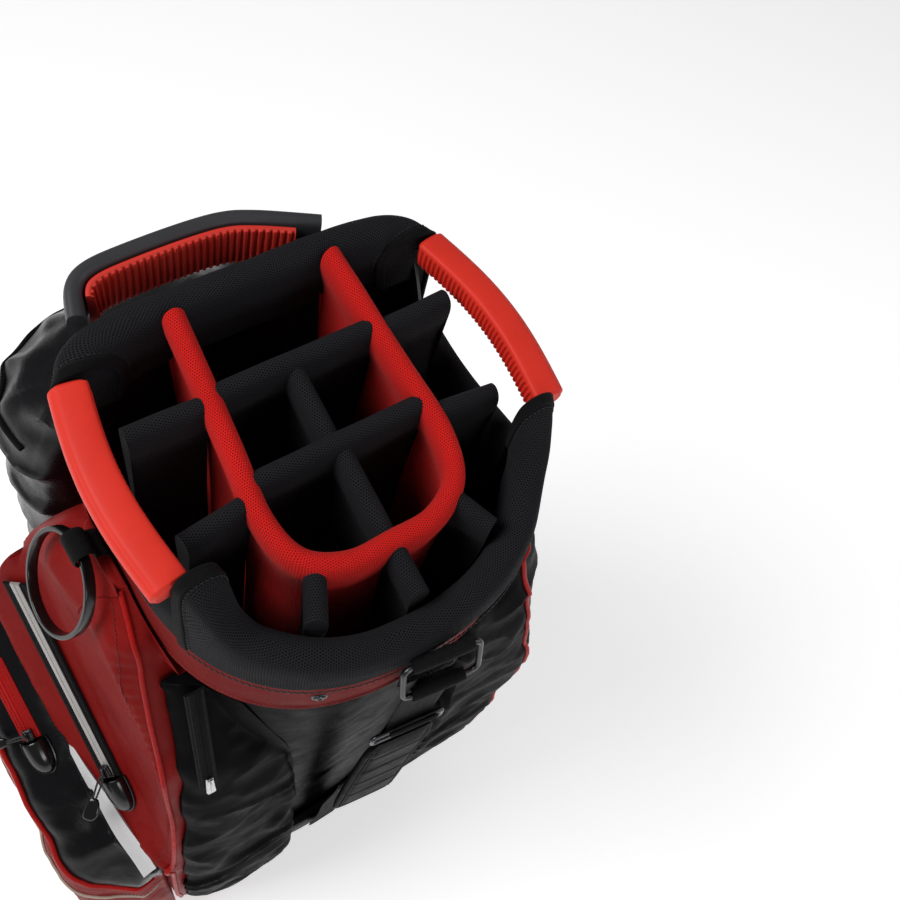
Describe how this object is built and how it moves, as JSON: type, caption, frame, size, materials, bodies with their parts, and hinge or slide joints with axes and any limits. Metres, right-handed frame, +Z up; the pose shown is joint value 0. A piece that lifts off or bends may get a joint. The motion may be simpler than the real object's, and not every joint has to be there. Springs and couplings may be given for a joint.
{
  "type": "golf cart bag",
  "caption": "Tall waterproof golf cart bag with a divided padded mouth, rim handles, zipped pockets, towel ring and a carrying strap.",
  "frame": {"origin": "centre of the flat sole the bag stands on", "axes": "+Z up the bag to its mouth, +Y towards the spine with the carrying strap, -Y towards the two front pockets, +X towards the large red side pocket"},
  "size_m": [0.506, 0.4652, 0.8891],
  "materials": {
    "mesh_red": "open knitted mesh over padded panels",
    "mesh_black": "open air mesh over foam",
    "shell_red": "coated waterproof woven shell, slight sheen",
    "shell_black": "coated waterproof woven shell, glossy",
    "grip_red": "matte moulded elastomer",
    "handle_grey": "fine moulded grain",
    "plastic_black": "moulded, matte",
    "plastic_gloss": "moulded, glossy",
    "rubber_black": "moulded sole",
    "stay_aluminium": "extruded flat bar",
    "zip_tape_grey": "water-repellent zip tape with a reflective band",
    "webbing_black": "woven webbing",
    "metal_dark": "dark nickel finish",
    "steel": "bright plated"
  },
  "bodies": {
    "bag": {"base_sole": "rubber_black", "base_tray": "plastic_black", "body_tube": "shell_black", "collar_back": "mesh_black", "collar_front": "mesh_black", "cuff_band": "shell_red", "cuff_screw_left": "steel", "cuff_screw_right": "steel", "divider_cross_back": "mesh_black", "divider_cross_front": "mesh_black", "divider_mid_back": "mesh_black", "divider_mid_front": "mesh_black", "divider_spoke_back": "mesh_black", "divider_spoke_back_left": "mesh_black", "divider_spoke_back_right": "mesh_black", "divider_spoke_front_left": "mesh_black", "divider_spoke_front_right": "mesh_black", "divider_spoke_mid_left": "mesh_black", "divider_spoke_mid_right": "mesh_black", "divider_u": "mesh_red", "front_handle_frame": "handle_grey", "front_handle_liner": "grip_red", "gusset_right": "shell_black", "pocket_front_lower": "shell_red", "pocket_front_upper": "shell_black", "pocket_left": "shell_black", "pocket_right": "shell_red", "pocket_right_lower": "shell_red", "side_handle_left": "grip_red", "side_handle_right": "grip_red", "side_lining_left": "mesh_black", "side_lining_right": "mesh_black", "stay_front": "stay_aluminium", "stay_spine_left": "stay_aluminium", "stay_spine_right": "stay_aluminium", "strap_loop": "webbing_black", "strap_web_lower": "webbing_black", "top_frame": "plastic_black", "towel_ring_loop": "webbing_black", "zip_garage_lower": "plastic_gloss", "zip_garage_right": "plastic_gloss", "zip_tape_front_lower": "zip_tape_grey", "zip_tape_front_upper": "zip_tape_grey", "zip_tape_gusset": "webbing_black", "zip_tape_left": "zip_tape_grey", "zip_tape_lower": "zip_tape_grey", "zip_tape_right": "zip_tape_grey"},
    "towel_ring": {"towel_ring": "plastic_gloss"},
    "strap_ring": {"strap_ring": "metal_dark"},
    "strap": {"strap_web_upper": "webbing_black", "strap_slider": "metal_dark", "strap_pad": "shell_black"},
    "zip_slider_right": {"zip_slider_right": "metal_dark"},
    "zip_pull_right": {"zip_pull_right": "plastic_gloss"},
    "zip_slider_lower": {"zip_slider_lower": "metal_dark"},
    "zip_pull_lower": {"zip_pull_lower": "plastic_gloss"},
    "zip_slider_gusset": {"zip_slider_gusset": "steel"},
    "zip_slider_left": {"zip_slider_left": "metal_dark"},
    "zip_slider_front_upper": {"zip_slider_front_upper": "metal_dark"},
    "zip_slider_front_lower": {"zip_slider_front_lower": "metal_dark"}
  },
  "joints": [
    {"name": "towel_ring_swing", "type": "hinge", "parent": "bag", "child": "towel_ring", "pos_m": [0.1645, -0.03, 0.756], "axis": [0, -1, 0], "range_deg": [0, 110]},
    {"name": "strap_ring_swing", "type": "hinge", "parent": "bag", "child": "strap_ring", "pos_m": [0, 0.1672, 0.781], "axis": [0.9903, -0.1392, 0], "range_deg": [0, 40]},
    {"name": "strap_swing", "type": "hinge", "parent": "strap_ring", "child": "strap", "pos_m": [0.00124, 0.17604, 0.74768], "axis": [0.9903, -0.1392, 0], "range_deg": [-43, 0]},
    {"name": "zip_right_run", "type": "hinge", "parent": "bag", "child": "zip_slider_right", "pos_m": [0.201, 0.424, 0.817], "axis": [-0.9999, 0, 0.0116], "range_deg": [0, 22.52]},
    {"name": "zip_right_pull_swing", "type": "hinge", "parent": "zip_slider_right", "child": "zip_pull_right", "pos_m": [0.21279, 0.02992, 0.43016], "axis": [-0.0081, -0.7137, -0.7004], "range_deg": [-27, 125]},
    {"name": "zip_lower_run", "type": "slide", "parent": "bag", "child": "zip_slider_lower", "axis": [0, -0.7809, 0.6247], "range_m": [0, 0.068]},
    {"name": "zip_lower_pull_swing", "type": "hinge", "parent": "zip_slider_lower", "child": "zip_pull_lower", "pos_m": [0.25444, -0.03297, 0.44579], "axis": [0, -0.7809, 0.6247], "range_deg": [-4, 115]},
    {"name": "zip_gusset_run", "type": "slide", "parent": "bag", "child": "zip_slider_gusset", "axis": [-0.0924, -0.3205, 0.9427], "range_m": [0, 0.104]},
    {"name": "zip_left_run", "type": "slide", "parent": "bag", "child": "zip_slider_left", "axis": [0, 0, 1], "range_m": [0, 0.25]},
    {"name": "zip_front_upper_run", "type": "slide", "parent": "bag", "child": "zip_slider_front_upper", "axis": [-1, 0, 0], "range_m": [0, 0.1]},
    {"name": "zip_front_lower_run", "type": "slide", "parent": "bag", "child": "zip_slider_front_lower", "axis": [-1, 0, 0], "range_m": [0, 0.1]}
  ],
  "couplings": [
    {"joint": "strap_swing", "follows": "strap_ring_swing", "ratio": -1.05}
  ]
}
